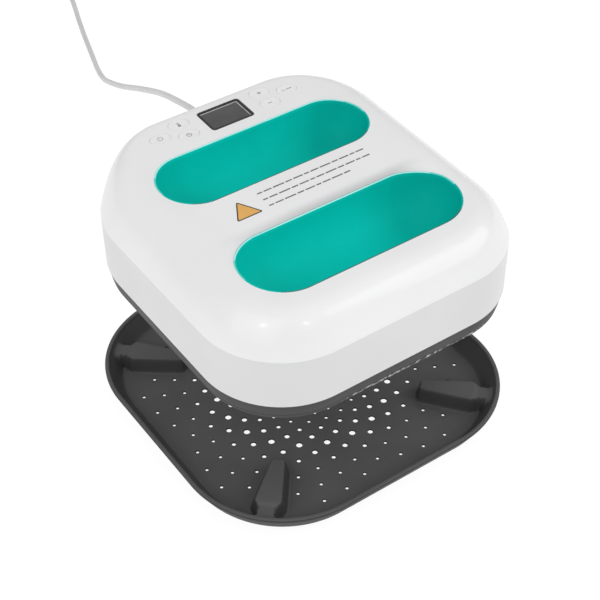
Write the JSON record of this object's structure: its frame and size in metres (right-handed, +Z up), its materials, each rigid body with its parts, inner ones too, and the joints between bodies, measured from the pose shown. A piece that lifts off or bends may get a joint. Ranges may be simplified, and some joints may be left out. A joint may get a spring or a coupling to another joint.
{
  "type": "hand-held heat press with stand tray",
  "caption": "Portable heat press for garment transfers, with two grip wells, display and push keys, held above its perforated insulated stand tray, with a mains cord.",
  "frame": {"origin": "on the table surface, under the centre of the stand tray", "axes": "+Z up, +Y to the back where the display and the cord are, +X along the grip wells to the right as seen from the front"},
  "size_m": [0.4571, 1.0253, 0.2524],
  "materials": {
    "gloss_white_plastic": "gloss moulded white",
    "key_white_plastic": "satin white",
    "teal_plastic": "satin teal",
    "tray_dark_grey": "fine matte dark grey, heat resistant",
    "ring_dark_grey": "satin dark grey, heat resistant",
    "gloss_black_plastic": "gloss black",
    "display_window": "clear smoke-grey window",
    "circuit_board": "green solder mask",
    "switch_black": "matte black",
    "non_stick_coating": "cast, with a dark non-stick coating",
    "galvanised_steel": "zinc plated",
    "element_steel": "dull sheath steel",
    "ceramic_fibre": "soft fibre blanket",
    "terminal_nylon": "natural nylon",
    "foot_rubber": "matte rubber",
    "cord_grey": "satin light grey sheath",
    "plug_brass": "bright plated"
  },
  "bodies": {
    "tray": {"stand_tray": "tray_dark_grey", "rubber_foot_1": "foot_rubber", "rubber_foot_2": "foot_rubber", "rubber_foot_3": "foot_rubber", "rubber_foot_4": "foot_rubber", "cord_on_table": "cord_grey", "cord_coil": "cord_grey", "cord_tail": "cord_grey", "cord_tie": "switch_black", "plug_body": "cord_grey", "plug_blade_left": "plug_brass", "plug_blade_right": "plug_brass", "plug_ground_pin": "plug_brass"},
    "press": {"top_shell": "gloss_white_plastic", "rear_grip_well": "teal_plastic", "front_grip_well": "teal_plastic", "display_bezel": "gloss_black_plastic", "display_lens": "display_window", "lcd_module": "circuit_board", "control_board": "circuit_board", "power_switch": "switch_black", "temperature_switch": "switch_black", "timer_switch": "switch_black", "plus_switch": "switch_black", "minus_switch": "switch_black", "start_switch": "switch_black", "base_ring": "ring_dark_grey", "housing_screw_1": "galvanised_steel", "housing_screw_2": "galvanised_steel", "housing_screw_3": "galvanised_steel", "housing_screw_4": "galvanised_steel", "heat_plate": "non_stick_coating", "heating_element": "element_steel", "insulation_pad": "ceramic_fibre", "heat_shield": "galvanised_steel", "thermal_cutoff": "galvanised_steel", "temperature_sensor": "element_steel", "power_board": "circuit_board", "power_relay": "switch_black", "mains_terminal": "terminal_nylon", "cord_strain_relief": "cord_grey", "cord_hanging": "cord_grey"},
    "power_key": {"power_button": "key_white_plastic"},
    "temperature_key": {"temperature_button": "key_white_plastic"},
    "timer_key": {"timer_button": "key_white_plastic"},
    "plus_key": {"plus_button": "key_white_plastic"},
    "minus_key": {"minus_button": "key_white_plastic"},
    "start_key": {"start_button": "key_white_plastic"}
  },
  "joints": [
    {"name": "press_lift", "type": "slide", "parent": "tray", "child": "press", "axis": [0, 0, 1], "range_m": [-0.1197, 0.06], "deforming": ["cord_hanging"]},
    {"name": "power_press", "type": "slide", "parent": "press", "child": "power_key", "axis": [0, 0, -1], "range_m": [0, 0.0006], "stiffness_N_per_m": 600, "springref_m": -0.0006},
    {"name": "temperature_press", "type": "slide", "parent": "press", "child": "temperature_key", "axis": [0, 0, -1], "range_m": [0, 0.0006], "stiffness_N_per_m": 600, "springref_m": -0.0006},
    {"name": "timer_press", "type": "slide", "parent": "press", "child": "timer_key", "axis": [0, 0, -1], "range_m": [0, 0.0006], "stiffness_N_per_m": 600, "springref_m": -0.0006},
    {"name": "plus_press", "type": "slide", "parent": "press", "child": "plus_key", "axis": [0, 0, -1], "range_m": [0, 0.0006], "stiffness_N_per_m": 600, "springref_m": -0.0006},
    {"name": "minus_press", "type": "slide", "parent": "press", "child": "minus_key", "axis": [0, 0, -1], "range_m": [0, 0.0006], "stiffness_N_per_m": 600, "springref_m": -0.0006},
    {"name": "start_press", "type": "slide", "parent": "press", "child": "start_key", "axis": [0, 0, -1], "range_m": [0, 0.0006], "stiffness_N_per_m": 600, "springref_m": -0.0006}
  ]
}
